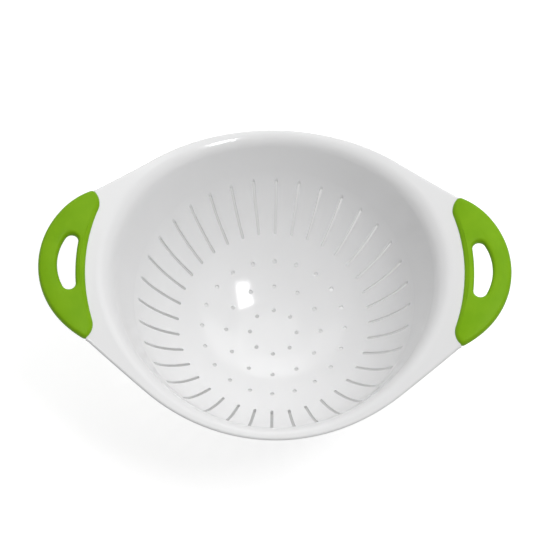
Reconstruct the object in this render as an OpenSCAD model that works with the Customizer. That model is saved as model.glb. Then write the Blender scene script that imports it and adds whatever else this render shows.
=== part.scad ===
// Two-handled kitchen colander: a white moulded bowl whose rim sweeps up into two
// wing handles, each wrapped in a soft green grip with a finger slot.
// X runs from handle to handle, Y from front to back, Z up from the bench.

/* [Bowl] */
// Radius of the flat middle of the floor
floor_flat_r = 7.5; // [4:0.5:16]
// Radius of the curve that runs from the floor up the wall
basin_r = 106; // [100:0.5:110]
// Lean of the upper wall, out from upright, in degrees
wall_lean = 15; // [12:0.5:18]
// Thickness of the drain zone's wall
wall_t = 2.5; // [1.8:0.1:3.2]
// How far the rim band stands proud of the drain zone, on each face
band_step = 0.25; // [0.2:0.05:0.4]
// Drop from the end of the wall's curve to the seam between drain zone and rim band
seam_drop = 2.6; // [1:0.1:5]
// Height from the seam to the middle of the rim, at the front
band_h = 33; // [26:0.5:40]

/* [Rim and wings] */
// Radius of the round corner between wall and rim
lip_r = 10; // [7:0.5:13]
// Width of the rim outside that corner, at the front
rim_flat = 2.1; // [2:0.1:5]
// How far the centre of the front rim's curve lies behind the middle of the bowl
rim_shift = 25; // [10:1:32]
// How far the handles reach out beyond the front-to-back size of the rim
wing_reach = 49.5; // [45:0.5:58]
// Radius of the rim's upward sweep, seen from the front
sweep_r = 390; // [330:5:460]
// Radius that rolls the sweep over into the level handles
roll_r = 90; // [60:5:110]
// Height of the handles over the front of the rim
handle_rise = 28; // [22:0.5:33]

/* [Drain pattern] */
// Number of drain slots round the wall
slot_count = 36; // [24:1:40]
// Width of a drain slot
slot_w = 2.2; // [1.6:0.1:3]
// Distance from the foot ring out to the slots' lower ends
slot_gap = 9; // [5:0.5:18]
// Distance from the slots' upper ends to the seam
slot_margin = 2.7; // [1.5:0.1:8]
// Diameter of the drain holes
hole_d = 3.2; // [2:0.1:4.2]
// Distance from the foot ring in to the middle of the outer holes
hole_margin = 6.9; // [4:0.1:10]
// Distance from one ring of holes to the next
ring_pitch = 19.25; // [14:0.25:24]
// Number of holes in the inner, middle and outer ring
ring_counts = [8, 12, 20]; // [4:1:24]

/* [Foot ring] */
// Outside diameter of the foot ring
foot_d = 134; // [130:1:142]
// Thickness of the foot ring where it leaves the bowl
foot_t = 2.6; // [2:0.1:3.2]
// Thickness of the foot ring at the bench
foot_tip_t = 2; // [1.4:0.1:2.6]
// Gap between the bowl's floor and the bench
foot_gap = 8; // [5:0.5:14]
// Number of drain notches in the foot ring
notch_count = 4; // [3:1:8]
// Width of a drain notch
notch_w = 16; // [8:1:24]
// Height of a drain notch
notch_h = 3; // [2:0.5:5]

/* [Handle cores] */
// Depth of the core's faces below the faces of the wing
core_step = 0.3; // [0.2:0.05:0.5]
// How far the core runs back inside the wing
core_root = 8; // [5:0.5:10]
// Clearance between the core and the grip moulded round it
bond_gap = 0.1; // [0.05:0.05:0.2]

/* [Grips] */
// Radius of the grip's outer edge, seen from above
grip_arc_r = 67.5; // [58:0.5:78]
// How far the grip's tips lie behind its outer edge
grip_tip_depth = 38.2; // [33:0.1:44]
// How far the tips stand out past the straight edges of the wing
tip_step = 0.6; // [0:0.1:1.5]
// Radius of the rounded ends of the inner edge
grip_end_r = 15; // [11:0.5:18]
// Thickness of the grip
grip_t = 8; // [7:0.5:10]
// Width of the rounding along the grip's edges
grip_round = 3; // [2:0.25:3.5]
// Radius at the tips of the grip's faces, inside that rounding
tip_face_r = 0.8; // [0.4:0.1:2]
// Thickness of grip outside the edge of the core
grip_skin = 3; // [2.5:0.25:3.5]
// How far the grip's faces swell between its edges
grip_crown = 0.4; // [0:0.1:1]

/* [Finger slots] */
// Width of the grip on the bowl's side of the slot
inner_bar_w = 7.6; // [6.6:0.1:9]
// Width of the slot, in the middle
finger_w = 13.7; // [12:0.1:16]
// Width of the grip outside the slot, in the middle
outer_bar_w = 14.2; // [12:0.1:17]
// Radius of the slot's outer edge, seen from above
finger_arc_r = 39.4; // [32:0.2:46]
// Radius of the slot's corners
finger_corner_r = 5; // [3:0.25:6]

/* [Hidden] */
overrun = 1;
bowl_colour = [0.93, 0.93, 0.93];
grip_colour = [0.49, 0.70, 0.13];
$fn = 96;

// Wall: an arc from the floor, then a straight cone
floor_z = foot_gap + wall_t;
wall_angle = 90 - wall_lean;
wall_start_r = floor_flat_r + basin_r * sin(wall_angle);
wall_start_z = floor_z + basin_r * (1 - cos(wall_angle));
function wall_r(z) = wall_start_r + (z - wall_start_z) * tan(wall_lean);

// Rim band: its seam, its thickness and how far the drain zone runs up inside it
band_t = wall_t + 2 * band_step;
band_lap = 2 * band_t;
seam_z = wall_start_z - seam_drop;
rim_z = seam_z + band_h;
rim_r = wall_r(rim_z + band_t / 2) - band_step + lip_r * tan(wall_angle / 2) + rim_flat;
grip_reach = rim_r + wing_reach;

// Sweep of the rim and handles, seen from the front: middle of their thickness
sweep_angle = acos(1 - handle_rise / (sweep_r + roll_r));
sweep_end = sweep_r * sin(sweep_angle);
roll_end = sweep_end + roll_r * sin(sweep_angle);
function crown_z(x) =
    let (a = abs(x))
    a < sweep_end ? rim_z + sweep_r - sqrt(sweep_r * sweep_r - a * a)
    : a < roll_end ? rim_z + handle_rise - roll_r + sqrt(roll_r * roll_r - (roll_end - a) * (roll_end - a))
    : rim_z + handle_rise;
function crown_slope(x) =
    let (a = abs(x))
    a < sweep_end ? a / sqrt(sweep_r * sweep_r - a * a)
    : a < roll_end ? (roll_end - a) / sqrt(roll_r * roll_r - (roll_end - a) * (roll_end - a))
    : 0;

// Points of an arc, and the point that a direction and a distance give
function polar(r, a) = [r * cos(a), r * sin(a)];
function arc(centre, r, from, to, steps) =
    [for (i = [0:steps]) centre + polar(r, from + (to - from) * i / steps)];

// Where two circles cross, on the left of the way from the first to the second
function crossing(c1, r1, c2, r2) =
    let (gap = c2 - c1, d = norm(gap), along = (r1 * r1 - r2 * r2 + d * d) / (2 * d))
    let (up = sqrt(r1 * r1 - along * along), dir = gap / d)
    c1 + dir * along + [-dir[1], dir[0]] * up;
function bearing(p) = atan2(p[1], p[0]);

// Across the grip, from the outside in: a bar, the finger slot and a second bar
finger_reach = grip_reach - outer_bar_w;
finger_inner_r = finger_reach - finger_w;
grip_inner_r = finger_inner_r - inner_bar_w;

// Plan of the grip: an outer arc, an inner arc round the bowl, and two rounded ends
grip_c = [grip_reach - grip_arc_r, 0];
tip_x = grip_arc_r - grip_tip_depth;
grip_tip = grip_c + [tip_x, sqrt(grip_arc_r * grip_arc_r - tip_x * tip_x)];
grip_end_c = crossing(grip_tip, grip_end_r, [0, 0], grip_inner_r + grip_end_r);
tip_angle = bearing(grip_tip);
grip_end_angle = bearing(grip_end_c);

// Plan of the finger slot: an outer arc, an inner arc round the bowl, and two corners
finger_c = [finger_reach - finger_arc_r, 0];
finger_corner_c = crossing([0, 0], finger_inner_r + finger_corner_r, finger_c, finger_arc_r - finger_corner_r);

// Closed outlines with the same number of points, so that those of the grip and of its
// slot pair up. Growing the slot's moves every arc outwards by that much.
long_steps = 20;
end_steps = 7;
tip_steps = 2;
function mirrored(points) = [for (i = [len(points) - 1:-1:0]) [points[i][0], -points[i][1]]];
function outline(half) = concat(half, mirrored(half));
function outer_half(centre, r, to) =
    [for (i = [0.5:1:long_steps / 2 - 0.5]) centre + polar(r, to * i * 2 / long_steps)];
function inner_half(r, from) =
    [for (i = [long_steps / 4 - 0.5:-1:0.5]) polar(r, from * i * 4 / long_steps)];
function finger_outline(grow) =
    let (turn = bearing(finger_corner_c - finger_c), corner_angle = bearing(finger_corner_c))
    outline(concat(
        outer_half(finger_c, finger_arc_r + grow, turn),
        arc(finger_corner_c, finger_corner_r + grow, turn, corner_angle + 180, end_steps),
        inner_half(finger_inner_r - grow, corner_angle)
    ));

// The grip's tips are rounded off, by more than its edges are
tip_round_r = grip_round + tip_face_r;
tip_c = crossing(grip_c, grip_arc_r - tip_round_r, grip_end_c, grip_end_r - tip_round_r);
function grip_outline() =
    let (to_tip = bearing(tip_c - grip_c), to_end = bearing(tip_c - grip_end_c))
    let (turn = grip_end_angle + 180 - to_end, left = end_steps - tip_steps)
    outline(concat(
        outer_half(grip_c, grip_arc_r, to_tip),
        arc(tip_c, tip_round_r, to_tip, to_end, tip_steps),
        [for (i = [1:left]) grip_end_c + polar(grip_end_r, to_end + turn * i / left)],
        inner_half(grip_inner_r, grip_end_angle)
    ));

// Plan of the white rim: an arc at the front, and straight wing edges that leave the
// arc and pass just inside the grip's tips. The distance of the rim's edge from the
// middle, in each direction.
rim_plan_r = rim_r + rim_shift;
tip_from_c = grip_tip + [0, rim_shift];
wing_angle = 90 - bearing(tip_from_c) - acos((rim_plan_r + tip_step) / norm(tip_from_c));
wing_line = rim_plan_r - rim_shift * cos(wing_angle);
wing_start = atan2(rim_plan_r * cos(wing_angle) - rim_shift, rim_plan_r * sin(wing_angle));
function rim_edge_r(a) =
    a > wing_start ? sqrt(rim_plan_r * rim_plan_r - pow(rim_shift * cos(a), 2)) - rim_shift * sin(a)
    : wing_line / cos(90 - wing_angle - a);
function grip_edge_r(a) =
    let (d = grip_inner_r + grip_end_r, turn = a - grip_end_angle)
    a < grip_end_angle ? grip_inner_r
    : d * cos(turn) - sqrt(max(grip_end_r * grip_end_r - d * d * sin(turn) * sin(turn), 0));
function plan_r(a) = a > tip_angle ? rim_edge_r(a) : min(rim_edge_r(a), grip_edge_r(a) - bond_gap);

// Rim band: one cross-section for each direction, from the seam up the wall, round
// the lip and out along the sweep, then back along the underside
lip_steps = 6;
flange_steps = 6;
edge_shares = [-0.7, 0, 0.7];
function wall_meets_top(a, r, tries) =
    tries == 0 ? r
    : wall_meets_top(a, wall_r(crown_z(r * cos(a)) + band_t / 2) - band_step, tries - 1);
function lip_arc(p0, p1, p2, w, u) =
    (p0 * (1 - u) * (1 - u) + p1 * 2 * w * u * (1 - u) + p2 * u * u)
    / ((1 - u) * (1 - u) + 2 * w * u * (1 - u) + u * u);
function top_line(a) =
    let (r = wall_meets_top(a, wall_start_r, 6), slope = crown_slope(r * cos(a)) * cos(a))
    let (turn = wall_angle - atan(slope), reach = lip_r * tan(turn / 2))
    let (corner = [r, crown_z(r * cos(a)) + band_t / 2])
    let (flat_r = r + reach * cos(atan(slope)), flat_z = crown_z(flat_r * cos(a)) + band_t / 2)
    let (edge_r = plan_r(a) - (a > tip_angle ? band_t / 2 : 0))
    concat(
        [[wall_r(seam_z) - band_step, seam_z]],
        [for (i = [0:lip_steps])
            lip_arc(corner - polar(reach, wall_angle), corner, [flat_r, flat_z], cos(turn / 2), i / lip_steps)],
        [for (i = [1:flange_steps])
            let (r = flat_r + (edge_r - flat_r) * i / flange_steps) [r, crown_z(r * cos(a)) + band_t / 2]]
    );
function square_to(v) = [v[1], -v[0]] / norm(v);
function band_section(a) =
    let (top = top_line(a), last = len(top) - 1)
    let (under = [for (i = [1:last]) top[i] + square_to(top[min(i + 1, last)] - top[i - 1]) * band_t])
    let (middle = (top[last] + under[last - 1]) / 2, across = (under[last - 1] - top[last]) / 2)
    let (out = [-across[1], across[0]])
    concat(
        top,
        [for (s = edge_shares) middle + across * s + out * (a > tip_angle ? sqrt(1 - s * s) : 0)],
        [for (i = [last - 1:-1:0]) under[i]],
        [[top[0][0] + band_t / cos(wall_lean), seam_z]]
    );

// Directions of the cross-sections: close together where the outline turns
grip_turns = 6;
end_turns = 5;
rim_turns = 16;
quarter_turns = concat(
    [for (i = [0:grip_turns - 1]) grip_end_angle * i / grip_turns],
    [for (i = [0:end_turns - 1]) grip_end_angle + (tip_angle - grip_end_angle) * i / end_turns],
    [for (i = [0:rim_turns - 1]) tip_angle + (90 - tip_angle) * i / rim_turns]
);
half_turns = concat(quarter_turns, [90], [for (i = [len(quarter_turns) - 1:-1:1]) 180 - quarter_turns[i]]);
all_turns = concat(half_turns, [for (a = half_turns) a + 180]);
function folded(a) = let (b = a % 180) b > 90 ? 180 - b : b;

// Skin of a closed ring of cross-sections that all have the same number of points
module ring_loft(sections) {
    n = len(sections);
    m = len(sections[0]);
    points = [for (s = sections) for (p = s) p];
    faces = [for (i = [0:n - 1]) for (j = [0:m - 1])
        let (k = (i + 1) % n, l = (j + 1) % m)
        for (f = [[i * m + j, k * m + j, k * m + l], [i * m + j, k * m + l, i * m + l]]) f];
    polyhedron(points = points, faces = faces, convexity = 10);
}

module rim_band() {
    ring_loft([for (a = all_turns) [for (p = band_section(folded(a))) [p[0] * cos(a), p[0] * sin(a), p[1]]]]);
}

// Outer or inner face of the drain zone: floor, arc and cone, as a filled half profile
module basin_half(grow, top_z) {
    arc_r = basin_r + grow;
    start = [floor_flat_r + arc_r * sin(wall_angle), floor_z + basin_r - arc_r * cos(wall_angle)];
    end = [start[0] + (top_z - start[1]) * tan(wall_lean), top_z];
    translate([0, floor_z - grow]) square([floor_flat_r, start[1] - floor_z + grow]);
    intersection() {
        translate([floor_flat_r, floor_z + basin_r]) circle(arc_r, $fn = 180);
        translate([floor_flat_r, floor_z - grow])
            square([start[0] - floor_flat_r, start[1] - floor_z + grow]);
    }
    polygon([[0, start[1]], start, end, [0, top_z]]);
}

module basin_shell() {
    rotate([0, 0, 180 / slot_count]) rotate_extrude() difference() {
        basin_half(wall_t, seam_z + band_lap);
        basin_half(0, seam_z + band_lap + overrun);
    }
}

// Drain slots and holes are open straight up and down, as a two-part mould leaves them
foot_out_r = foot_d / 2;
foot_in_r = foot_out_r - foot_t;
module drain_slots() {
    first_c = foot_out_r + slot_gap + slot_w / 2;
    last_c = wall_r(seam_z) - slot_margin - slot_w / 2;
    for (i = [0:slot_count - 1]) rotate([0, 0, i * 360 / slot_count]) linear_extrude(seam_z) {
        translate([first_c, -slot_w / 2]) square([last_c - first_c, slot_w]);
        for (r = [first_c, last_c]) translate([r, 0]) circle(d = slot_w, $fn = 24);
    }
}

module drain_holes() {
    outer = len(ring_counts) - 1;
    for (k = [0:outer]) for (i = [0:ring_counts[k] - 1])
        rotate([0, 0, 90 + i * 360 / ring_counts[k]])
            translate([foot_in_r - hole_margin - (outer - k) * ring_pitch, 0, 0])
                cylinder(h = seam_z, d = hole_d, $fn = 24);
}

// Foot ring: its top ends halfway through the wall that it carries
module foot_ring() {
    face_z = floor_z + basin_r - sqrt(pow(basin_r, 2) - pow(foot_in_r - floor_flat_r, 2));
    back_z = floor_z + basin_r - sqrt(pow(basin_r + wall_t, 2) - pow(foot_out_r - floor_flat_r, 2));
    top_z = (face_z + back_z) / 2;
    difference() {
        rotate_extrude()
            polygon([[foot_in_r, top_z], [foot_out_r - foot_tip_t, 0], [foot_out_r, 0], [foot_out_r, top_z]]);
        for (i = [0:notch_count - 1]) rotate([0, 0, (i + 0.5) * 360 / notch_count])
            translate([0, -notch_w / 2, -overrun]) cube([foot_d, notch_w, notch_h + overrun]);
    }
}

// A level sheet that follows the sweep of the handles, thick t, from x0 outwards
sheet_steps = 12;
module handle_sheet(t, x0) {
    x1 = grip_reach + overrun;
    xs = [for (i = [0:sheet_steps]) x0 + (x1 - x0) * i / sheet_steps];
    profile = concat([for (x = xs) [x, crown_z(x) - t / 2]],
        [for (i = [sheet_steps:-1:0]) [xs[i], crown_z(xs[i]) + t / 2]]);
    rotate([90, 0, 0]) linear_extrude(2 * grip_reach, center = true) polygon(profile);
}

// The core of a handle, or the pocket for it when it grows by the clearance
module handle_core(grow) {
    core_r = grip_arc_r - grip_skin + grow;
    root_r = grip_inner_r - core_root;
    root = crossing([0, 0], root_r, grip_c, core_r);
    plan = concat(
        arc(grip_c, core_r, -bearing(root - grip_c), bearing(root - grip_c), 2 * long_steps),
        arc([0, 0], root_r, bearing(root), -bearing(root), long_steps));
    intersection() {
        handle_sheet(band_t - 2 * core_step + 2 * grow, root[0] - overrun);
        linear_extrude(rim_z + 2 * handle_rise) difference() {
            polygon(plan);
            polygon(finger_outline(grip_skin - grow));
        }
    }
}

module bowl() {
    color(bowl_colour) union() {
        difference() {
            basin_shell();
            drain_slots();
            drain_holes();
        }
        rim_band();
        foot_ring();
        handle_core(0);
        mirror([1, 0, 0]) handle_core(0);
    }
}

// Grip body: cross-sections that run from the outer edge, over the top, down through
// the finger slot and back underneath
round_steps = 3;
function grip_section(edge, edge_in, finger, finger_out) =
    let (rise = grip_t / 2)
    concat(
        [for (i = [-round_steps:round_steps])
            let (a = 90 * i / round_steps, p = edge + edge_in * grip_round * (1 - cos(a)))
            [p[0], p[1], crown_z(p[0]) + rise * sin(a)]],
        [let (p = (edge + edge_in * grip_round + finger + finger_out * grip_round) / 2)
            [p[0], p[1], crown_z(p[0]) + rise + grip_crown]],
        [for (i = [round_steps:-1:-round_steps])
            let (a = 90 * i / round_steps, p = finger + finger_out * grip_round * (1 - cos(a)))
            [p[0], p[1], crown_z(p[0]) + rise * sin(a)]],
        [let (p = (edge + edge_in * grip_round + finger + finger_out * grip_round) / 2)
            [p[0], p[1], crown_z(p[0]) - rise - grip_crown]]
    );
function inward(points, i) =
    let (n = len(points), v = points[(i + 1) % n] - points[(i + n - 1) % n]) [-v[1], v[0]] / norm(v);

module grip_body() {
    edge = grip_outline();
    finger = finger_outline(0);
    ring_loft([for (i = [len(edge) - 1:-1:0])
        grip_section(edge[i], inward(edge, i), finger[i], -inward(finger, i))]);
}

module right_grip() {
    color(grip_colour) difference() {
        grip_body();
        handle_core(bond_gap);
    }
}

module left_grip() {
    mirror([1, 0, 0]) right_grip();
}

bowl();
left_grip();
right_grip();
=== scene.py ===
import math

import bpy
import numpy as np
from mathutils import Matrix, Vector


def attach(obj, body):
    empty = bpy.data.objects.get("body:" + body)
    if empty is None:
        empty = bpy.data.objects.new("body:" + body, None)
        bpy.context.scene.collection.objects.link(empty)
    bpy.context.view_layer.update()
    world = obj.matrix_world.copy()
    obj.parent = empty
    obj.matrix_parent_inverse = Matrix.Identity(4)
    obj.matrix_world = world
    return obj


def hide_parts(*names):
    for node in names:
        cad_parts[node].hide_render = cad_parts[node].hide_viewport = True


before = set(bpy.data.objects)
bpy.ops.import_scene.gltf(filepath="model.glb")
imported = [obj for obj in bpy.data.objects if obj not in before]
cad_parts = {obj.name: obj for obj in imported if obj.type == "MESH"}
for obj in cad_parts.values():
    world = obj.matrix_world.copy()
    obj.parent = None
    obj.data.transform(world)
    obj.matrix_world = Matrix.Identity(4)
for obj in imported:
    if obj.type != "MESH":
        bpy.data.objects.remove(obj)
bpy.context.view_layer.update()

MM = 0.001

# Bowl: floor, basin curve, wall and the band above the seam
FLOOR_FLAT_R = 7.5 * MM
BASIN_R = 106 * MM
WALL_LEAN = math.radians(15)
WALL_T = 2.5 * MM
BAND_STEP = 0.25 * MM
SEAM_DROP = 2.6 * MM
BAND_H = 33 * MM

# Rim and wings
LIP_R = 10 * MM
WING_LIP_R = 22 * MM
WING_LIP_POWER = 4
RIM_FLAT = 2.1 * MM
RIM_SHIFT = 25 * MM
WING_REACH = 49.5 * MM
SWEEP_R = 390 * MM
ROLL_R = 90 * MM
HANDLE_RISE = 28 * MM

# Drain pattern
SLOT_COUNT = 36
SLOT_W = 2.2 * MM
SLOT_GAP = 9 * MM
SLOT_MARGIN = 2.7 * MM
HOLE_COUNTS = (20, 12, 8)
HOLE_D = 3.2 * MM
HOLE_MARGIN = 6.9 * MM
HOLE_RING_PITCH = 19.25 * MM

# Foot ring
FOOT_D = 134 * MM
FOOT_T = 2.6 * MM
FOOT_TIP_T = 2 * MM
FOOT_GAP = 8 * MM
NOTCH_COUNT = 4
NOTCH_W = 16 * MM
NOTCH_H = 3 * MM

# Grips and finger slots
GRIP_ARC_R = 67.5 * MM
GRIP_TIP_DEPTH = 38.2 * MM
TIP_STEP = 0.6 * MM
GRIP_END_R = 15 * MM
GRIP_T = 8 * MM
GRIP_ROUND = 3 * MM
GRIP_CROWN = 0.4 * MM
INNER_BAR_W = 7.6 * MM
FINGER_W = 13.7 * MM
OUTER_BAR_W = 14.2 * MM
FINGER_ARC_R = 39.4 * MM
FINGER_CORNER_R = 5 * MM

# Heights and radii that follow from these
FLOOR_Z = FOOT_GAP + WALL_T
WALL_ANGLE = math.pi / 2 - WALL_LEAN
CURVE_Z = FLOOR_Z + BASIN_R
WALL_START_R = FLOOR_FLAT_R + BASIN_R * math.sin(WALL_ANGLE)
WALL_START_Z = CURVE_Z - BASIN_R * math.cos(WALL_ANGLE)
BAND_T = WALL_T + 2 * BAND_STEP
SEAM_Z = WALL_START_Z - SEAM_DROP
RIM_Z = SEAM_Z + BAND_H


def wall_r(z):
    """Radius of the straight part of the wall's inner face at a height."""
    return WALL_START_R + (z - WALL_START_Z) * math.tan(WALL_LEAN)


RIM_CORNER_R = wall_r(RIM_Z + BAND_T / 2) - BAND_STEP
RIM_R = RIM_CORNER_R + LIP_R * math.tan(WALL_ANGLE / 2) + RIM_FLAT
GRIP_REACH = RIM_R + WING_REACH
FINGER_REACH = GRIP_REACH - OUTER_BAR_W
FINGER_INNER_R = FINGER_REACH - FINGER_W
GRIP_INNER_R = FINGER_INNER_R - INNER_BAR_W

# Sweep of the rim and handles, seen from the front
SWEEP_ANGLE = math.acos(1 - HANDLE_RISE / (SWEEP_R + ROLL_R))
SWEEP_END = SWEEP_R * math.sin(SWEEP_ANGLE)
ROLL_END = SWEEP_END + ROLL_R * math.sin(SWEEP_ANGLE)


def crown_z(x):
    """Height of the middle of the rim and handles at a distance along the part."""
    a = np.abs(x)
    sweep = RIM_Z + SWEEP_R - np.sqrt(SWEEP_R ** 2 - np.minimum(a, SWEEP_END) ** 2)
    back = np.clip(ROLL_END - a, 0, ROLL_END - SWEEP_END)
    roll = RIM_Z + HANDLE_RISE - ROLL_R + np.sqrt(ROLL_R ** 2 - back ** 2)
    return np.where(a < SWEEP_END, sweep, roll)


def crown_slope(x):
    """Slope of that sweep, going outwards."""
    a = np.abs(x)
    inside = np.minimum(a, SWEEP_END)
    back = np.clip(ROLL_END - a, 0, ROLL_END - SWEEP_END)
    return np.where(a < SWEEP_END, inside / np.sqrt(SWEEP_R ** 2 - inside ** 2),
                    back / np.sqrt(ROLL_R ** 2 - back ** 2))


def polar(r, a):
    """Points at distances r in directions a, along a last axis of two."""
    return np.stack(np.broadcast_arrays(r * np.cos(a), r * np.sin(a)), axis=-1)


def bearing(p):
    """Direction of a plan point, seen from the middle."""
    return math.atan2(p[1], p[0])


def crossing(c1, r1, c2, r2):
    """Where two circles cross, on the left of the way from the first to the second."""
    gap = np.subtract(c2, c1)
    d = math.hypot(*gap)
    along = (r1 ** 2 - r2 ** 2 + d ** 2) / (2 * d)
    up = math.sqrt(r1 ** 2 - along ** 2)
    return np.asarray(c1) + gap / d * along + np.array([-gap[1], gap[0]]) / d * up


# Plan of the grip, and of the rim between the two grips
GRIP_C = np.array([GRIP_REACH - GRIP_ARC_R, 0])
TIP_X = GRIP_ARC_R - GRIP_TIP_DEPTH
GRIP_TIP = GRIP_C + np.array([TIP_X, math.sqrt(GRIP_ARC_R ** 2 - TIP_X ** 2)])
GRIP_END_C = crossing(GRIP_TIP, GRIP_END_R, (0, 0), GRIP_INNER_R + GRIP_END_R)
TIP_ANGLE = bearing(GRIP_TIP)
GRIP_END_ANGLE = bearing(GRIP_END_C)
RIM_PLAN_R = RIM_R + RIM_SHIFT
TIP_FROM_C = GRIP_TIP + np.array([0, RIM_SHIFT])
WING_ANGLE = (math.pi / 2 - bearing(TIP_FROM_C)
              - math.acos((RIM_PLAN_R + TIP_STEP) / math.hypot(*TIP_FROM_C)))
WING_LINE = RIM_PLAN_R - RIM_SHIFT * math.cos(WING_ANGLE)
WING_START = math.atan2(RIM_PLAN_R * math.cos(WING_ANGLE) - RIM_SHIFT,
                        RIM_PLAN_R * math.sin(WING_ANGLE))
FINGER_C = np.array([FINGER_REACH - FINGER_ARC_R, 0])
FINGER_CORNER_C = crossing((0, 0), FINGER_INNER_R + FINGER_CORNER_R,
                           FINGER_C, FINGER_ARC_R - FINGER_CORNER_R)
RIM_LAP = 1.5 * MM


def rim_edge_r(a):
    """Distance of the rim's edge from the middle, in directions up to a right angle."""
    curve = np.sqrt(RIM_PLAN_R ** 2 - (RIM_SHIFT * np.cos(a)) ** 2) - RIM_SHIFT * np.sin(a)
    return np.where(a > WING_START, curve, WING_LINE / np.cos(math.pi / 2 - WING_ANGLE - a))


def grip_edge_r(a):
    """Distance of the grip's inner edge from the middle."""
    d = GRIP_INNER_R + GRIP_END_R
    turn = a - GRIP_END_ANGLE
    end = d * np.cos(turn) - np.sqrt(np.maximum(GRIP_END_R ** 2 - (d * np.sin(turn)) ** 2, 0))
    return np.where(a < GRIP_END_ANGLE, GRIP_INNER_R, end)


class Net:
    """Mesh under construction: points, and faces that name them."""

    def __init__(self):
        self.points = []
        self.faces = []

    def add(self, points):
        """Adds rows of points and gives their numbers, in the same layout."""
        points = np.asarray(points, float)
        first = sum(len(p) for p in self.points)
        self.points.append(points.reshape(-1, points.shape[-1]))
        return first + np.arange(self.points[-1].shape[0]).reshape(points.shape[:-1])

    def strip(self, a, b):
        """Quads between two closed rows of the same length."""
        n = len(a)
        for i in range(n):
            j = (i + 1) % n
            self.faces.append((a[i], a[j], b[j], b[i]))

    def narrow(self, outer, inner):
        """Triangles from a row to one with a whole share of its points."""
        n, k = len(inner), len(outer) // len(inner)
        for i in range(n):
            for j in range(k):
                here = inner[i] if j < k / 2 else inner[(i + 1) % n]
                self.faces.append((outer[i * k + j], outer[(i * k + j + 1) % len(outer)], here))
            middle = outer[(i * k + (k + 1) // 2) % len(outer)]
            self.faces.append((middle, inner[(i + 1) % n], inner[i]))

    def all_points(self):
        """All points so far, as one array."""
        return np.concatenate(self.points)


def build_object(name, net, material, sharp_degrees):
    """Turns a finished net into a smooth-shaded object with a material."""
    mesh = bpy.data.meshes.new(name)
    mesh.from_pydata(net.all_points().tolist(), [], [tuple(int(i) for i in f) for f in net.faces])
    mesh.validate()
    mesh.shade_smooth()
    mesh.set_sharp_from_angle(angle=math.radians(sharp_degrees))
    mesh.materials.append(material)
    piece = bpy.data.objects.new(name, mesh)
    bpy.context.scene.collection.objects.link(piece)
    return piece


# Basin: one plan net, lifted onto the inner and the outer face. Its rings have a point a
# degree from the seam in to the first holes, and fewer further in.
EDGE_ROUND = 0.3 * MM
EDGE_STEPS = 3
FINE_TURNS = 360
COARSE_TURNS = 120
CENTRE_TURNS = 24
FIRST_TURN = -math.pi / SLOT_COUNT
SLOT_ZONE_MARGIN = 3 * MM
SLOT_SIDE_STEPS = 14
HOLE_ZONE_REACH = 5.6 * MM
HOLE_ZONE_TURNS = (FINE_TURNS, COARSE_TURNS, COARSE_TURNS)
HOLE_SIDE_STEPS = (7, 6, 7)
BANDS_ABOVE_HOLES = 3
MIDDLE_RING_SHARE = 0.75
FLAT_RING_SHARE = 0.6
LAYER_SHARES = (0.3, 0.56, 0.78, 0.92)
SEAM_IN_R = FLOOR_FLAT_R + math.sqrt(BASIN_R ** 2 - (CURVE_Z - SEAM_Z) ** 2)
SEAM_OUT_R = FLOOR_FLAT_R + math.sqrt((BASIN_R + WALL_T) ** 2 - (CURVE_Z - SEAM_Z) ** 2)


def basin_z(r, grow):
    """Height of the basin's inner face, or of a face that lies deeper by grow."""
    out = np.maximum(np.asarray(r) - FLOOR_FLAT_R, 0)
    return CURVE_Z - np.sqrt((BASIN_R + grow) ** 2 - out ** 2)


def basin_slant(r):
    """Length along the basin's face for each unit of length in plan."""
    out = np.maximum(np.asarray(r) - FLOOR_FLAT_R, 0)
    return BASIN_R / np.sqrt(BASIN_R ** 2 - out ** 2)


def even_radii(r0, r1, steps):
    """Radii whose points lie evenly along the basin's curve."""
    a0 = math.asin((r0 - FLOOR_FLAT_R) / BASIN_R)
    a1 = math.asin((r1 - FLOOR_FLAT_R) / BASIN_R)
    return FLOOR_FLAT_R + BASIN_R * np.sin(np.linspace(a0, a1, steps + 1))


def add_ring(net, r, turns, first):
    """Adds a ring of plan points at radius r, the first one in direction first."""
    return net.add(polar(r, first + np.arange(turns) * 2 * math.pi / turns))


def join_rings(net, outer, outer_r, inner, inner_r, first, steps):
    """Fills the space between two rings of the same length with steps strips."""
    rows = [outer]
    for r in np.linspace(outer_r, inner_r, steps + 1)[1:-1]:
        rows.append(add_ring(net, r, len(inner), first))
    rows.append(inner)
    for a, b in zip(rows, rows[1:]):
        net.strip(a, b)


def round_cut(arc_steps, side_steps):
    """Outline of a round hole about its own middle, as a function of its growth."""
    turns = 2 * (arc_steps + side_steps)
    angles = (np.arange(turns) - arc_steps / 2) * 2 * math.pi / turns
    return lambda grow: polar(HOLE_D / 2 + grow, angles)


def slot_cut(middle_r, first_c, last_c, arc_steps, side_steps):
    """Outline of a slot with round ends about its middle, as a function of its growth."""
    ends = np.linspace(-math.pi / 2, math.pi / 2, arc_steps + 1)
    inside = even_radii(first_c, last_c, side_steps)[1:-1] - middle_r

    def outline(grow):
        """The slot's outline, grown outwards all round."""
        half_w = SLOT_W / 2 + grow
        far = np.array([last_c - middle_r, 0]) + polar(half_w, ends)
        near = np.array([first_c - middle_r, 0]) + polar(half_w, ends + math.pi)
        up = np.stack([inside[::-1], np.full(len(inside), half_w)], axis=-1)
        down = np.stack([inside, np.full(len(inside), -half_w)], axis=-1)
        return np.concatenate([far, up, near, down])

    return outline


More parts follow.
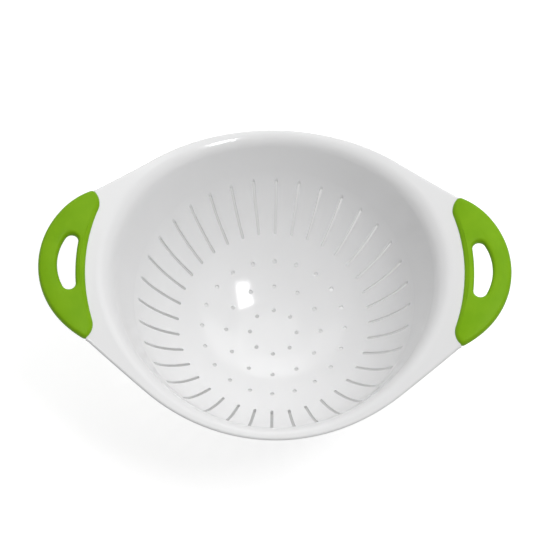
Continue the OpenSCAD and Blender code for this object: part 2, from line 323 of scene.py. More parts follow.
def cut_zone(net, cuts, inner, outer, inner_r, outer_r, count, first, middle_r, outline, side_steps):
    """Fills the zone between two rings of the plan net round a pattern of cuts, the first
    one in direction first. Each cut's sector gets layers from its border in to the cut,
    whose rim is kept in cuts."""
    turns = len(inner)
    arc_steps = turns // count
    half_turn = math.pi / count
    radii = even_radii(inner_r, outer_r, side_steps)[1:-1]
    sides = [net.add(polar(radii, first + (2 * k - 1) * half_turn)) for k in range(count)]
    for k in range(count):
        angle = first + 2 * k * half_turn
        steps = [(k * arc_steps + i) % turns for i in range(arc_steps + 1)]
        side_before, side_after = sides[k], sides[(k + 1) % count]
        border = np.concatenate([outer[steps], side_after[::-1], inner[steps[::-1]], side_before])
        along = np.array([math.cos(angle), math.sin(angle)])
        across = np.array([-along[1], along[0]])
        cut = outline(EDGE_ROUND)
        rim = along * (middle_r + cut[:, :1]) + across * cut[:, 1:]
        start = net.all_points()[border]
        rows = [border] + [net.add(start * (1 - s) + rim * s) for s in LAYER_SHARES] + [net.add(rim)]
        for a, b in zip(rows, rows[1:]):
            net.strip(a, b)
        cuts.append((rows[-1], along, across, middle_r, outline))


def plan_slots(net, cuts):
    """Slots' zone, from the seam in. Gives its two rings and the radius of the inner one."""
    first_c = FOOT_D / 2 + SLOT_GAP + SLOT_W / 2
    last_c = wall_r(SEAM_Z) - SLOT_MARGIN - SLOT_W / 2
    middle_r = (first_c + last_c) / 2
    inner_r = first_c - SLOT_W / 2 - SLOT_ZONE_MARGIN
    seam = add_ring(net, SEAM_IN_R, FINE_TURNS, FIRST_TURN)
    inner = add_ring(net, inner_r, FINE_TURNS, FIRST_TURN)
    outline = slot_cut(middle_r, first_c, last_c, FINE_TURNS // SLOT_COUNT, SLOT_SIDE_STEPS)
    cut_zone(net, cuts, inner, seam, inner_r, SEAM_IN_R, SLOT_COUNT, 0, middle_r, outline, SLOT_SIDE_STEPS)
    return seam, inner, inner_r


def plan_holes(net, cuts, above, above_r):
    """Rings of holes, from the outermost in, inside a ring of the net. Gives the innermost
    ring of points, its radius and its first direction."""
    above_first = FIRST_TURN
    for number, count in enumerate(HOLE_COUNTS):
        turns, side_steps = HOLE_ZONE_TURNS[number], HOLE_SIDE_STEPS[number]
        r = FOOT_D / 2 - FOOT_T - HOLE_MARGIN - number * HOLE_RING_PITCH
        outer_r, inner_r = r + HOLE_ZONE_REACH, r - HOLE_ZONE_REACH
        first = math.pi / 2 - math.pi / count
        if len(above) == FINE_TURNS:
            above = np.roll(above, -round((first - above_first) * FINE_TURNS / (2 * math.pi)))
        outer = add_ring(net, outer_r, turns, first)
        inner = add_ring(net, inner_r, turns, first)
        if len(above) == turns:
            join_rings(net, above, above_r, outer, outer_r, first, BANDS_ABOVE_HOLES)
        else:
            step = add_ring(net, (above_r + outer_r) / 2, turns, first)
            net.narrow(above, step)
            net.strip(step, outer)
        outline = round_cut(turns // count, side_steps)
        cut_zone(net, cuts, inner, outer, inner_r, outer_r, count, math.pi / 2, r, outline, side_steps)
        above, above_r, above_first = inner, inner_r, first
    return above, above_r, above_first


def plan_middle(net, above, above_r, first):
    """Middle of the floor, inside the innermost ring of points."""
    step = add_ring(net, above_r * MIDDLE_RING_SHARE, CENTRE_TURNS, first)
    net.narrow(above, step)
    flat = add_ring(net, FLOOR_FLAT_R * FLAT_RING_SHARE, CENTRE_TURNS, first)
    net.strip(step, flat)
    middle = net.add([(0.0, 0.0)])[0]
    for i in range(CENTRE_TURNS):
        net.faces.append((flat[i], flat[(i + 1) % CENTRE_TURNS], middle))


def basin_plan():
    """Plan net of the whole basin, with its cuts and its outermost ring."""
    net, cuts = Net(), []
    seam, inner, inner_r = plan_slots(net, cuts)
    plan_middle(net, *plan_holes(net, cuts, inner, inner_r))
    return net, cuts, seam


def lifted(points, z):
    """Plan points with their heights."""
    return np.concatenate([points, np.asarray(z).reshape(-1, 1)], axis=1)


def add_basin(net):
    """Adds both faces of the basin and the walls of its cuts. Gives the two seam rings."""
    plan, cuts, seam = basin_plan()
    flat = plan.all_points()
    r = np.hypot(flat[:, 0], flat[:, 1])
    face = net.add(lifted(flat, basin_z(r, 0)))
    back = net.add(lifted(flat, basin_z(r, WALL_T)))
    for f in plan.faces:
        net.faces.append(tuple(face[i] for i in f))
        net.faces.append(tuple(back[i] for i in reversed(f)))
    for rim, along, across, middle_r, outline in cuts:
        rows = [face[rim]]
        for side, grow in ((1, 0), (-1, WALL_T)):
            steps = range(1, EDGE_STEPS + 1) if side == 1 else range(EDGE_STEPS, 0, -1)
            for step in steps:
                angle = math.pi / 2 * step / EDGE_STEPS
                cut = outline(EDGE_ROUND * (1 - math.sin(angle)))
                points = along * (middle_r + cut[:, :1]) + across * cut[:, 1:]
                far = np.hypot(points[:, 0], points[:, 1])
                depth = EDGE_ROUND * (1 - math.cos(angle)) * basin_slant(far)
                rows.append(net.add(lifted(points, basin_z(far, grow) - side * depth)))
        rows.append(back[rim])
        for a, b in zip(rows, rows[1:]):
            net.strip(a, b)
    return face[seam], back[seam]


# Rim band: columns of points, each in its own direction, from the inner seam up the wall,
# round the lip, along the wing, round the edge and back down the outside
LEDGE_ROUND = 0.08 * MM
WALL_ROWS = 5
LIP_ROWS = 18
FLANGE_ROWS = 12
EDGE_ROWS = 8
OUTSIDE_ROWS = 4
WALL_TOP_TRIES = 8
ANGLE_SLACK = 1e-6


def column_directions(share):
    """Directions of the columns. They start even, as the drain pattern's rings are, and
    with share 1 a column stands exactly at each grip's tip."""
    even = FIRST_TURN + np.arange(FINE_TURNS) * 2 * math.pi / FINE_TURNS
    quarter = math.pi / 2
    pitch = 2 * math.pi / FINE_TURNS
    column_at_tip = round(TIP_ANGLE / pitch) * pitch
    folded = even % math.pi
    mirrored = folded > quarter
    folded = np.where(mirrored, math.pi - folded, folded)
    warped = np.interp(folded, (0, column_at_tip, quarter), (0, TIP_ANGLE, quarter))
    return np.where(mirrored, -1, 1) * share * (warped - folded) + even


def folded_direction(a):
    """Direction of the mirrored place in the first quarter turn."""
    half = a % math.pi
    return np.where(half > math.pi / 2, math.pi - half, half)


def band_line(a):
    """Top line of the band in directions a of the first quarter turn, from the seam to the
    edge, as rows of distance and height. Also says which directions end in a grip."""
    c = np.cos(a)
    corner_r = np.full(a.shape, WALL_START_R)
    for _ in range(WALL_TOP_TRIES):
        corner_r = wall_r(crown_z(corner_r * c) + BAND_T / 2) - BAND_STEP

    # The lip is a round from the wall's straight line to the flange's
    slope = np.arctan(crown_slope(corner_r * c) * c)
    turn = WALL_ANGLE - slope
    lip_r = LIP_R + (WING_LIP_R - LIP_R) * c ** WING_LIP_POWER
    reach = lip_r * np.tan(turn / 2)
    corner = np.stack([corner_r, crown_z(corner_r * c) + BAND_T / 2], axis=-1)
    start = corner - reach[:, None] * np.array([math.cos(WALL_ANGLE), math.sin(WALL_ANGLE)])
    flange_r = corner_r + reach * np.cos(slope)
    end = np.stack([flange_r, crown_z(flange_r * c) + BAND_T / 2], axis=-1)

    in_grip = a < TIP_ANGLE + ANGLE_SLACK
    under_grip_r = np.minimum(rim_edge_r(a), grip_edge_r(a) + RIM_LAP)
    edge_r = np.where(in_grip, under_grip_r, rim_edge_r(a) - BAND_T / 2)
    seam = np.stack([np.full(a.shape, wall_r(SEAM_Z) - BAND_STEP), np.full(a.shape, SEAM_Z)], axis=-1)
    rows = []
    for i in range(WALL_ROWS):
        s = i / WALL_ROWS
        rows.append(seam * (1 - s) + start * s)
    weight = np.cos(turn / 2)[:, None]
    for i in range(LIP_ROWS):
        s = i / LIP_ROWS
        total = (1 - s) ** 2 + 2 * weight * s * (1 - s) + s ** 2
        rows.append((start * (1 - s) ** 2 + corner * 2 * weight * s * (1 - s) + end * s ** 2) / total)
    for i in range(FLANGE_ROWS + 1):
        far = flange_r + (edge_r - flange_r) * i / FLANGE_ROWS
        rows.append(np.stack([far, crown_z(far * c) + BAND_T / 2], axis=-1))
    return np.stack(rows, axis=1), in_grip


def square_to(v):
    """Directions at a right angle to v, clockwise."""
    turned = np.stack([v[..., 1], -v[..., 0]], axis=-1)
    return turned / np.linalg.norm(turned, axis=-1, keepdims=True)


def add_band(net, face_seam, back_seam):
    """Adds the band, and joins it to the basin's two seam rings."""
    even, warped = column_directions(0), column_directions(1)
    at_rim = np.concatenate([np.zeros(WALL_ROWS), np.linspace(0, 1, LIP_ROWS), np.ones(FLANGE_ROWS + 1)])
    count = len(at_rim)
    top, under = [], []
    for j in range(count):
        a = even * (1 - at_rim[j]) + warped * at_rim[j]
        line, in_grip = band_line(folded_direction(a))
        ahead, behind = min(j + 1, count - 1), max(j - 1, 0)
        below = line[:, j] + square_to(line[:, ahead] - line[:, behind]) * BAND_T
        top.append(np.concatenate([polar(line[:, j, 0], a), line[:, j, 1:]], axis=1))
        under.append(np.concatenate([polar(below[:, 0], a), below[:, 1:]], axis=1))
    seam_in = wall_r(SEAM_Z) - BAND_STEP
    seam_out = seam_in + BAND_T / math.cos(WALL_LEAN)
    seam_z = np.full(FINE_TURNS, SEAM_Z)
    under[0] = lifted(polar(seam_out, even), seam_z)

    # Half a round closes the edge. Inside the grips it stays flat.
    middle, across = (top[-1] + under[-1]) / 2, (top[-1] - under[-1]) / 2
    outwards = np.stack([np.cos(warped), np.sin(warped), np.zeros(len(warped))], axis=1)
    tilt = (outwards * across).sum(1, keepdims=True) / (across ** 2).sum(1, keepdims=True)
    along = outwards - across * tilt
    along *= (BAND_T / 2 / np.linalg.norm(along, axis=1))[:, None]
    bulge = np.where(in_grip, 0, 1)[:, None]
    edge = []
    for i in range(1, EDGE_ROWS):
        angle = math.pi * i / EDGE_ROWS
        edge.append(middle + across * math.cos(angle) + along * math.sin(angle) * bulge)

    # The band stands on a ledge at the seam, inside and outside, with a rounded corner each
    lower_lip = top[0].copy()
    lower_lip[:, 2] += LEDGE_ROUND
    inner_ledge = lifted(polar(seam_in + LEDGE_ROUND, even), seam_z)
    outer_ledge = lifted(polar(seam_out - LEDGE_ROUND, even), seam_z)
    upper_lip = under[0].copy()
    upper_lip[:, 2] += LEDGE_ROUND

    outside = even_radii(SEAM_IN_R, SEAM_OUT_R, OUTSIDE_ROWS)[:0:-1]
    rows = [face_seam, net.add(inner_ledge), net.add(lower_lip)]
    rows += [net.add(p) for p in top[1:] + edge + under[:0:-1]]
    rows += [net.add(upper_lip), net.add(outer_ledge)]
    rows += [net.add(lifted(polar(r, even), np.full(FINE_TURNS, basin_z(r, WALL_T)))) for r in outside]
    rows.append(back_seam)
    for a, b in zip(rows, rows[1:]):
        net.strip(b, a)


# Foot ring: a turned profile whose bottom lifts over the drain notches. The notches' sides
# lean a little, by a share of their rounded corners, so that no two columns coincide.
FOOT_TURNS = 240
FOOT_ROUND = 0.3 * MM
FOOT_ROUND_STEPS = 3
NOTCH_CORNER_STEPS = 5
NOTCH_SIDE_LEAN = 0.02


def foot_stations():
    """Directions round the foot ring, each with the height of its bottom."""
    half = math.asin(NOTCH_W / 2 / (FOOT_D / 2))
    ramp = FOOT_ROUND / (FOOT_D / 2)
    pitch = 2 * math.pi / NOTCH_COUNT
    land_start, land_end = half + ramp, pitch - half - ramp
    notch_steps = int(FOOT_TURNS / NOTCH_COUNT * 2 * half / pitch)
    land_steps = int(FOOT_TURNS / NOTCH_COUNT * (pitch - 2 * half) / pitch)
    turns = [math.pi / 2 * i / NOTCH_CORNER_STEPS for i in range(NOTCH_CORNER_STEPS + 1)]
    corner = [(ramp * max(math.cos(t), NOTCH_SIDE_LEAN), FOOT_ROUND * math.sin(t)) for t in turns]
    stations = []
    for k in range(NOTCH_COUNT):
        centre = (k + 0.5) * pitch
        stations += [(centre - half - out, lift) for out, lift in corner]
        stations += [(a, NOTCH_H) for a in np.linspace(centre - half, centre + half, notch_steps + 1)]
        stations += [(centre + half + out, lift) for out, lift in corner[::-1]]
        land = np.linspace(centre + land_start, centre + land_end, land_steps + 1)
        stations += [(a, 0.0) for a in land[1:-1]]
    return stations


def foot_profile(lift):
    """Distances and heights of the foot ring's profile where its bottom is lifted, from its
    buried top down the inside, round the bottom and up the outside."""
    out_r = FOOT_D / 2
    in_r = out_r - FOOT_T
    buried_z = (basin_z(in_r, 0) + basin_z(out_r, WALL_T)) / 2
    slant = (FOOT_T - FOOT_TIP_T) / basin_z(in_r, WALL_T)
    bottom_r = out_r - FOOT_TIP_T - slant * lift
    turns = [math.pi / 2 * i / FOOT_ROUND_STEPS for i in range(FOOT_ROUND_STEPS + 1)]
    corner = [(FOOT_ROUND * (1 - math.cos(t)), FOOT_ROUND * (1 - math.sin(t))) for t in turns]
    profile = [(in_r, buried_z), (in_r, basin_z(in_r, WALL_T))]
    profile += [(bottom_r - slant * FOOT_ROUND, lift + FOOT_ROUND)]
    profile += [(bottom_r + inset, lift + rise) for inset, rise in corner[1:]]
    profile += [(out_r - inset, lift + rise) for inset, rise in corner[::-1]]
    profile += [(out_r, basin_z(out_r, WALL_T)), (out_r, buried_z)]
    return np.array(profile, float)


def add_foot(net):
    """Adds the foot ring, a closed shell of its own."""
    rows = []
    for a, lift in foot_stations():
        profile = foot_profile(lift)
        rows.append(net.add(lifted(polar(profile[:, 0], a), profile[:, 1])))
    for a, b in zip(rows, rows[1:] + rows[:1]):
        net.strip(b, a)


BOWL_SHARP_DEGREES = 50


def build_bowl(material):
    """The whole white moulding."""
    net = Net()
    face_seam, back_seam = add_basin(net)
    add_band(net, face_seam, back_seam)
    add_foot(net)
    return build_object("bowl_moulding", net, material, BOWL_SHARP_DEGREES)


# Grips: the outlines of the grip and of its finger slot have as many points each
OUTER_STEPS = 44
END_STEPS = 28
INNER_STEPS = 18
ROUND_ROWS = 7
FACE_ROWS = 10
TIP_FACE_R = 0.8 * MM
TIP_ROUND = GRIP_ROUND + TIP_FACE_R
TIP_STEPS = 8
GRIP_SHARP_DEGREES = 60


def arc(centre, r, start, end, points):
    """Plan points on an arc from one direction to another."""
    return centre + polar(r, np.linspace(start, end, points))


def grip_half():
    """Half of the grip's outline: outer arc, rounded tip, rounded end and inner arc."""
    tip_c = crossing(GRIP_C, GRIP_ARC_R - TIP_ROUND, GRIP_END_C, GRIP_END_R - TIP_ROUND)
    to_outer, to_end = bearing(tip_c - GRIP_C), bearing(tip_c - GRIP_END_C)
    outer = arc(GRIP_C, GRIP_ARC_R, 0, to_outer, OUTER_STEPS + 1)
    tip = arc(tip_c, TIP_ROUND, to_outer, to_end, TIP_STEPS + 1)
    end = arc(GRIP_END_C, GRIP_END_R, to_end, GRIP_END_ANGLE + math.pi, END_STEPS - TIP_STEPS + 1)
    inner = polar(GRIP_INNER_R, np.linspace(GRIP_END_ANGLE, 0, INNER_STEPS + 1))
    return np.concatenate([outer[:-1], tip[:-1], end[:-1], inner])


def finger_half():
    """Half of the finger slot's outline, with as many points as the grip's."""
    turn, end = bearing(FINGER_CORNER_C - FINGER_C), bearing(FINGER_CORNER_C)
    outer = arc(FINGER_C, FINGER_ARC_R, 0, turn, OUTER_STEPS + 1)
    corner = arc(FINGER_CORNER_C, FINGER_CORNER_R, turn, end + math.pi, END_STEPS + 1)
    inner = polar(FINGER_INNER_R, np.linspace(end, 0, INNER_STEPS + 1))
    return np.concatenate([outer[:-1], corner[:-1], inner])


def whole(half):
    """Outline from its half and the mirrored half."""
    mirrored = half[-2:0:-1] * np.array([1, -1])
    return np.concatenate([half, mirrored])


def inward(points):
    """Direction at a right angle to a counter-clockwise outline, into it."""
    v = np.roll(points, -1, axis=0) - np.roll(points, 1, axis=0)
    turned = np.stack([-v[:, 1], v[:, 0]], axis=1)
    return turned / np.linalg.norm(turned, axis=1, keepdims=True)


def grip_rows():
    """Rows round the grip's section, each of plan points and a height over the sweep: up the
    outer edge, over the top, down through the finger slot and back underneath."""
    edge, finger = whole(grip_half()), whole(finger_half())
    edge_in, finger_out = inward(edge), -inward(finger)
    flat_edge, flat_finger = edge + edge_in * GRIP_ROUND, finger + finger_out * GRIP_ROUND
    rise = GRIP_T / 2
    turns = np.linspace(-math.pi / 2, math.pi / 2, 2 * ROUND_ROWS + 1)
    shares = np.linspace(0, 1, FACE_ROWS + 1)[1:-1]

    def rounded(outline, towards, turn):
        """A row on a rounded edge, turned from the underside to the top."""
        return outline + towards * GRIP_ROUND * (1 - math.cos(turn)), rise * math.sin(turn)

    def crowned(share, face):
        """A row across the top, face 1, or the underside, face -1."""
        crown = GRIP_CROWN * (1 - (2 * share - 1) ** 2)
        return flat_edge * (1 - share) + flat_finger * share, face * (rise + crown)

    rows = [rounded(edge, edge_in, t) for t in turns]
    rows += [crowned(s, 1) for s in shares]
    rows += [rounded(finger, finger_out, t) for t in turns[::-1]]
    rows += [crowned(s, -1) for s in shares[::-1]]
    return rows


def build_grip(name, side, material):
    """Grip on the handle at side 1, to the right, or -1, to the left."""
    net, rows = Net(), []
    for plan, up in grip_rows():
        points = lifted(plan, crown_z(plan[:, 0]) + up)
        points[:, 0] *= side
        rows.append(net.add(points))
    for a, b in zip(rows, rows[1:] + rows[:1]):
        if side == 1:
            net.strip(a, b)
        else:
            net.strip(b, a)
    return build_object(name, net, material, GRIP_SHARP_DEGREES)


# Materials: colours, the range of each roughness, and the noises that vary them
NOISE_LOW = 0.3
NOISE_HIGH = 0.7
PLASTIC_WHITE = (0.87, 0.87, 0.873, 1)
PLASTIC_IOR = 1.49
PLASTIC_ROUGHNESS = (0.09, 0.14)
HAZE_NOISE = {"Scale": 35.0, "Detail": 4.0, "Roughness": 0.6}
RIPPLE_NOISE = {"Scale": 90.0, "Detail": 2.0}
RIPPLE_STRENGTH = 0.06
RIPPLE_DEPTH = 0.4 * MM
GRIP_GREEN_DEEP = (0.192, 0.417, 0.002, 1)
GRIP_GREEN_PALE = (0.218, 0.448, 0.005, 1)
GRIP_IOR = 1.48
GRIP_SPECULAR = 0.14
GRIP_ROUGHNESS = (0.42, 0.52)
MOTTLE_NOISE = {"Scale": 60.0, "Detail": 3.0}
MOTTLE_EDGES = (0.35, 0.65)
GRAIN_NOISE = {"Scale": 1400.0, "Detail": 2.0}
GRAIN_STRENGTH = 0.25
GRAIN_DEPTH = 0.1 * MM


def new_material(name):
    """A material, its nodes and links, and its shader."""
    material = bpy.data.materials.new(name)
    material.use_nodes = True
    nodes, links = material.node_tree.nodes, material.node_tree.links
    return material, nodes, links, nodes["Principled BSDF"]


def add_node(nodes, kind, **values):
    """A node with some of its input sockets set."""
    node = nodes.new(kind)
    for name, value in values.items():
        node.inputs[name.replace("_", " ")].default_value = value
    return node


def add_noise(nodes, links, place, noise):
    """A noise texture over the object, as values on both sides of one half."""
    texture = add_node(nodes, "ShaderNodeTexNoise", **noise)
    links.new(place.outputs["Object"], texture.inputs["Vector"])
    return texture.outputs["Fac"]


def vary_roughness(nodes, links, shader, noise, roughness):
    """Lets a noise move the roughness between two values."""
    low, high = roughness
    spread = add_node(nodes, "ShaderNodeMapRange",
                      From_Min=NOISE_LOW, From_Max=NOISE_HIGH, To_Min=low, To_Max=high)
    links.new(noise, spread.inputs["Value"])
    links.new(spread.outputs["Result"], shader.inputs["Roughness"])


def add_relief(nodes, links, shader, noise, strength, depth):
    """Lets a noise raise and lower the surface a little."""
    bump = add_node(nodes, "ShaderNodeBump", Strength=strength, Distance=depth)
    links.new(noise, bump.inputs["Height"])
    links.new(bump.outputs["Normal"], shader.inputs["Normal"])


def white_plastic():
    """Polished white polypropylene: a faint moulding ripple and a little handling haze."""
    material, nodes, links, shader = new_material("white_plastic")
    shader.inputs["Base Color"].default_value = PLASTIC_WHITE
    shader.inputs["IOR"].default_value = PLASTIC_IOR
    place = nodes.new("ShaderNodeTexCoord")
    haze = add_noise(nodes, links, place, HAZE_NOISE)
    ripple = add_noise(nodes, links, place, RIPPLE_NOISE)
    vary_roughness(nodes, links, shader, haze, PLASTIC_ROUGHNESS)
    add_relief(nodes, links, shader, ripple, RIPPLE_STRENGTH, RIPPLE_DEPTH)
    return material


def green_rubber():
    """Soft-touch green overmoulding: satin, with a fine texture and slight mottling."""
    material, nodes, links, shader = new_material("green_rubber")
    shader.inputs["IOR"].default_value = GRIP_IOR
    shader.inputs["Specular IOR Level"].default_value = GRIP_SPECULAR
    place = nodes.new("ShaderNodeTexCoord")
    mottle = add_noise(nodes, links, place, MOTTLE_NOISE)
    grain = add_noise(nodes, links, place, GRAIN_NOISE)
    tint = nodes.new("ShaderNodeValToRGB")
    greens = (GRIP_GREEN_DEEP, GRIP_GREEN_PALE)
    for stop, edge, green in zip(tint.color_ramp.elements, MOTTLE_EDGES, greens):
        stop.position = edge
        stop.color = green
    links.new(mottle, tint.inputs["Fac"])
    links.new(tint.outputs["Color"], shader.inputs["Base Color"])
    vary_roughness(nodes, links, shader, mottle, GRIP_ROUGHNESS)
    add_relief(nodes, links, shader, grain, GRAIN_STRENGTH, GRAIN_DEPTH)
    return material


def connect(links, sockets, values):
    """Gives each socket its value, a number or another node's output."""
    for socket, value in zip(sockets, values):
        if isinstance(value, float):
            socket.default_value = value
        else:
            links.new(value, socket)


def combine(nodes, links, operation, first, second):
    """The result of a Math node for two values, each a number or another node's output."""
    node = nodes.new("ShaderNodeMath")
    node.operation = operation
    connect(links, node.inputs, (first, second))
    return node.outputs["Value"]


def seen_directly(nodes, links):
    """1 for rays from the camera, and for reflected and transmitted ones, else 0."""
    path = nodes.new("ShaderNodeLightPath")
    seen = combine(nodes, links, "MAXIMUM", path.outputs["Is Camera Ray"], path.outputs["Is Glossy Ray"])
    return combine(nodes, links, "MAXIMUM", seen, path.outputs["Is Transmission Ray"])


def fade(nodes, links, value, start, end):
    """0 up to a start value and 1 from an end value on, with a soft step between them."""
    node = nodes.new("ShaderNodeMapRange")
    node.interpolation_type = "SMOOTHSTEP"
    sockets = [node.inputs[name] for name in ("Value", "From Min", "From Max")]
    connect(links, sockets, (value, start, end))
    return node.outputs["Result"]


def between(nodes, links, share, at_0, at_1):
    """The value that lies at a share of the way between two others."""
    node = nodes.new("ShaderNodeMix")
    sockets = [node.inputs[name] for name in ("Factor", "A", "B")]
    connect(links, sockets, (share, at_0, at_1))
    return node.outputs["Result"]


def distance_from(nodes, links, place, centre):
    """Distance of the place from a point."""
    node = nodes.new("ShaderNodeVectorMath")
    node.operation = "DISTANCE"
    node.inputs[1].default_value = centre
    links.new(place.outputs["Object"], node.inputs[0])
    return node.outputs["Value"]


# Floor: its colour, and its own glow for rays that see it, in the open, far away and in a
# painted shadow under the bowl: a grey patch, darker on its left and front sides, that
# stands in for the bowl's shade. The painted shadow's edge is sharper at the front, where
# the rim would not hide a soft one. Inside the foot ring the floor is painted brighter
# towards the ring, a painted light seen through the holes. The faint light that the floor
# sends up under the bowl and inside the foot ring, though it is no lamp, stands for what
# comes through the thin plastic.
FLOOR_WHITE = 0.8
OPEN_WHITE = 0.6
OPEN_GLOW = 0.7
FAR_GLOW = 0.82
FAR_START = 0.5
FAR_END = 2.5
# Painted shadow under the bowl: its white and grey glow, its place and its edges
PAINTED_SHADE_WHITE = 0.1
PAINTED_SHADE_GLOW_LEFT = 0.465
PAINTED_SHADE_GLOW_RIGHT = 0.58
PAINTED_SHADE_FRONT_SHARE = 0.83
PAINTED_SHADE_CENTRE = (0, 34 * MM, 0)
PAINTED_SHADE_R = 112 * MM
PAINTED_SHADE_EDGE_FRONT = 121 * MM
PAINTED_SHADE_EDGE_BACK = 165 * MM
PAINTED_SHADE_SIDE = 100 * MM
SHADE_LIGHT = 0.19
PAINTED_FOOT_GLOW = 0.2
FOOT_LIGHT = 0.5
WORLD_LIGHT = 0.31


def white_floor():
    """Pale floor that keeps the shadow. Its own glow lifts it to white where it is lit,
    and a soft-edged grey patch under the bowl is a painted shadow."""
    material, nodes, links, shader = new_material("pale_floor")
    shader.inputs["Roughness"].default_value = 1.0
    shader.inputs["Specular IOR Level"].default_value = 0.0
    shader.inputs["Emission Color"].default_value = (1, 1, 1, 1)
    place = nodes.new("ShaderNodeTexCoord")
    axes = nodes.new("ShaderNodeSeparateXYZ")
    links.new(place.outputs["Object"], axes.inputs["Vector"])
    seen = seen_directly(nodes, links)
    from_middle = distance_from(nodes, links, place, (0, 0, 0))
    far_away = fade(nodes, links, from_middle, FAR_START, FAR_END)
    in_foot = fade(nodes, links, from_middle, FOOT_D / 2, FOOT_D / 2 - FOOT_T)
    to_right = fade(nodes, links, axes.outputs["X"], -PAINTED_SHADE_SIDE, PAINTED_SHADE_SIDE)
    to_back = fade(nodes, links, axes.outputs["Y"], -PAINTED_SHADE_SIDE, PAINTED_SHADE_SIDE)
    edge = between(nodes, links, to_back, PAINTED_SHADE_EDGE_FRONT, PAINTED_SHADE_EDGE_BACK)
    # Painted shadow: a soft-edged patch under the bowl, 0 inside it and 1 in the open
    outside_painted_shade = fade(nodes, links, distance_from(nodes, links, place, PAINTED_SHADE_CENTRE), PAINTED_SHADE_R, edge)

    # Seen rays get the painted shadow there: a duller white and a fixed grey glow, painted darker on the
    # left and at the front
    seen_white = between(nodes, links, outside_painted_shade, PAINTED_SHADE_WHITE, OPEN_WHITE)
    links.new(between(nodes, links, seen, FLOOR_WHITE, seen_white), shader.inputs["Base Color"])
    front_share = between(nodes, links, to_back, PAINTED_SHADE_FRONT_SHARE, 1.0)
    painted_shade_glow = between(nodes, links, to_right, PAINTED_SHADE_GLOW_LEFT, PAINTED_SHADE_GLOW_RIGHT)
    painted_shade_glow = combine(nodes, links, "MULTIPLY", painted_shade_glow, front_share)
    # Painted light: the floor seen through the holes glows brighter towards the foot ring
    to_foot = fade(nodes, links, from_middle, 0.0, FOOT_D / 2)
    painted_foot_glow = combine(nodes, links, "MULTIPLY", to_foot, to_foot)
    painted_foot_glow = combine(nodes, links, "MULTIPLY", painted_foot_glow, in_foot)
    painted_foot_glow = combine(nodes, links, "MULTIPLY", painted_foot_glow, PAINTED_FOOT_GLOW)
    painted_shade_glow = combine(nodes, links, "ADD", painted_shade_glow, painted_foot_glow)
    open_glow = between(nodes, links, far_away, OPEN_GLOW, FAR_GLOW)
    seen_glow = between(nodes, links, outside_painted_shade, painted_shade_glow, open_glow)
    under_light = between(nodes, links, in_foot, SHADE_LIGHT, FOOT_LIGHT)
    unseen_glow = between(nodes, links, outside_painted_shade, under_light, 0.0)
    links.new(between(nodes, links, seen, unseen_glow, seen_glow), shader.inputs["Emission Strength"])
    return material


STAGE_HALF = 6.0


def build_stage():
    """The floor, and the light from all round, which is plain white where it is seen."""
    mesh = bpy.data.meshes.new("floor")
    corners = [(x * STAGE_HALF, y * STAGE_HALF, 0) for x, y in ((-1, -1), (1, -1), (1, 1), (-1, 1))]
    mesh.from_pydata(corners, [], [(0, 1, 2, 3)])
    mesh.materials.append(white_floor())
    floor = bpy.data.objects.new("floor", mesh)
    bpy.context.scene.collection.objects.link(floor)

    world = bpy.data.worlds.new("studio")
    bpy.context.scene.world = world
    world.use_nodes = True
    nodes, links = world.node_tree.nodes, world.node_tree.links
    background = nodes["Background"]
    background.inputs["Color"].default_value = (1, 1, 1, 1)
    strength = add_node(nodes, "ShaderNodeMapRange", To_Min=WORLD_LIGHT, To_Max=1.0)
    links.new(seen_directly(nodes, links), strength.inputs["Value"])
    links.new(strength.outputs["Result"], background.inputs["Strength"])


# Lamps: one whose reflection is the highlight on the bowl's floor, and four broad ones
# behind the bowl, each with its azimuth, its elevation and how bright its face is
LAMP_TARGET = Vector((0, 0, 50 * MM))
KEY_DIRECTION = (0.345, -0.06, 0.94)
KEY_DISTANCE = 1.5
KEY_SIZE = (0.235, 0.52)
KEY_SPIN = math.radians(20)
KEY_BRIGHTNESS = 19.3
BACK_DISTANCE = 2.2
BACK_SIZE = (1.3, 1.0)
BACK_LAMPS = {
    "back_right": (math.radians(45), math.radians(40), 1.09),
    "back": (math.radians(90), math.radians(40), 1.65),
    "back_left": (math.radians(135), math.radians(40), 0.68),
    "back_high": (math.radians(80), math.radians(65), 0.82),
}


def add_softbox(name, direction, distance, size, brightness, spin=0.0):
    """A rectangular light that faces the bowl from a direction, its width along X
    unless it is spun."""
    width, depth = size
    light = bpy.data.lights.new(name, "AREA")
    light.shape = "RECTANGLE"
    light.size = width
    light.size_y = depth
    light.energy = brightness * math.pi * width * depth
    lamp = bpy.data.objects.new(name, light)
    out = Vector(direction).normalized()
    level = (Vector((1, 0, 0)) - out * out.x).normalized()
    facing = Matrix((level, out.cross(level), out)).transposed() @ Matrix.Rotation(spin, 3, "Z")
    lamp.matrix_world = Matrix.LocRotScale(LAMP_TARGET + out * distance, facing.to_quaternion(), None)
    bpy.context.scene.collection.objects.link(lamp)


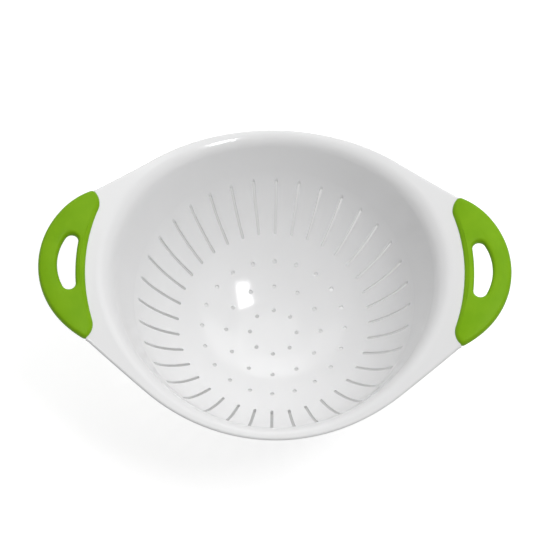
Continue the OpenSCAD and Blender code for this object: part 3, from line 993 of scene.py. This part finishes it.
def build_lamps():
    """Adds the lamp of the highlight and the ones behind the bowl."""
    add_softbox("key", KEY_DIRECTION, KEY_DISTANCE, KEY_SIZE, KEY_BRIGHTNESS, KEY_SPIN)
    for name, (azimuth, elevation, brightness) in BACK_LAMPS.items():
        level = math.cos(elevation)
        out = (math.cos(azimuth) * level, math.sin(azimuth) * level, math.sin(elevation))
        add_softbox(name, out, BACK_DISTANCE, BACK_SIZE, brightness)


# Camera: fitted to the drain pattern, the rim and the grips
CAMERA_AZIMUTH = math.radians(-0.461)
CAMERA_ELEVATION = math.radians(67.072)
CAMERA_ROLL = math.radians(1.519)
CAMERA_DISTANCE = 1.6
CAMERA_SHIFT = (0.00141, 0.04646)
CAMERA_TARGET_Z = 0.01076
FOCAL_PIXELS = 1966.4
PICTURE_PIXELS = 550
SENSOR = 36.0


def build_camera():
    """The photo's camera. Back points from the scene to the camera."""
    back = Vector((math.sin(CAMERA_AZIMUTH) * math.cos(CAMERA_ELEVATION),
                   -math.cos(CAMERA_AZIMUTH) * math.cos(CAMERA_ELEVATION),
                   math.sin(CAMERA_ELEVATION)))
    level = Vector((math.cos(CAMERA_AZIMUTH), math.sin(CAMERA_AZIMUTH), 0))
    upright = back.cross(level)
    right = level * math.cos(CAMERA_ROLL) + upright * math.sin(CAMERA_ROLL)
    up = upright * math.cos(CAMERA_ROLL) - level * math.sin(CAMERA_ROLL)
    place = right * CAMERA_SHIFT[0] + up * CAMERA_SHIFT[1] + back * CAMERA_DISTANCE
    place.z += CAMERA_TARGET_Z
    data = bpy.data.cameras.new("camera")
    data.sensor_width = SENSOR
    data.lens = SENSOR * FOCAL_PIXELS / PICTURE_PIXELS
    camera = bpy.data.objects.new("camera", data)
    axes = Matrix((right, up, back)).transposed()
    camera.matrix_world = Matrix.LocRotScale(place, axes.to_quaternion(), None)
    bpy.context.scene.collection.objects.link(camera)
    bpy.context.scene.camera = camera


build_camera()
build_stage()
build_lamps()
bpy.context.scene.view_settings.view_transform = "Standard"

plastic = white_plastic()
rubber = green_rubber()
bowl = build_bowl(plastic)
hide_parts("bowl")
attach(bowl, "root")
for grip_name, grip_side in (("left_grip", -1), ("right_grip", 1)):
    grip = build_grip(grip_name + "_cover", grip_side, rubber)
    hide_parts(grip_name)
    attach(grip, "root")
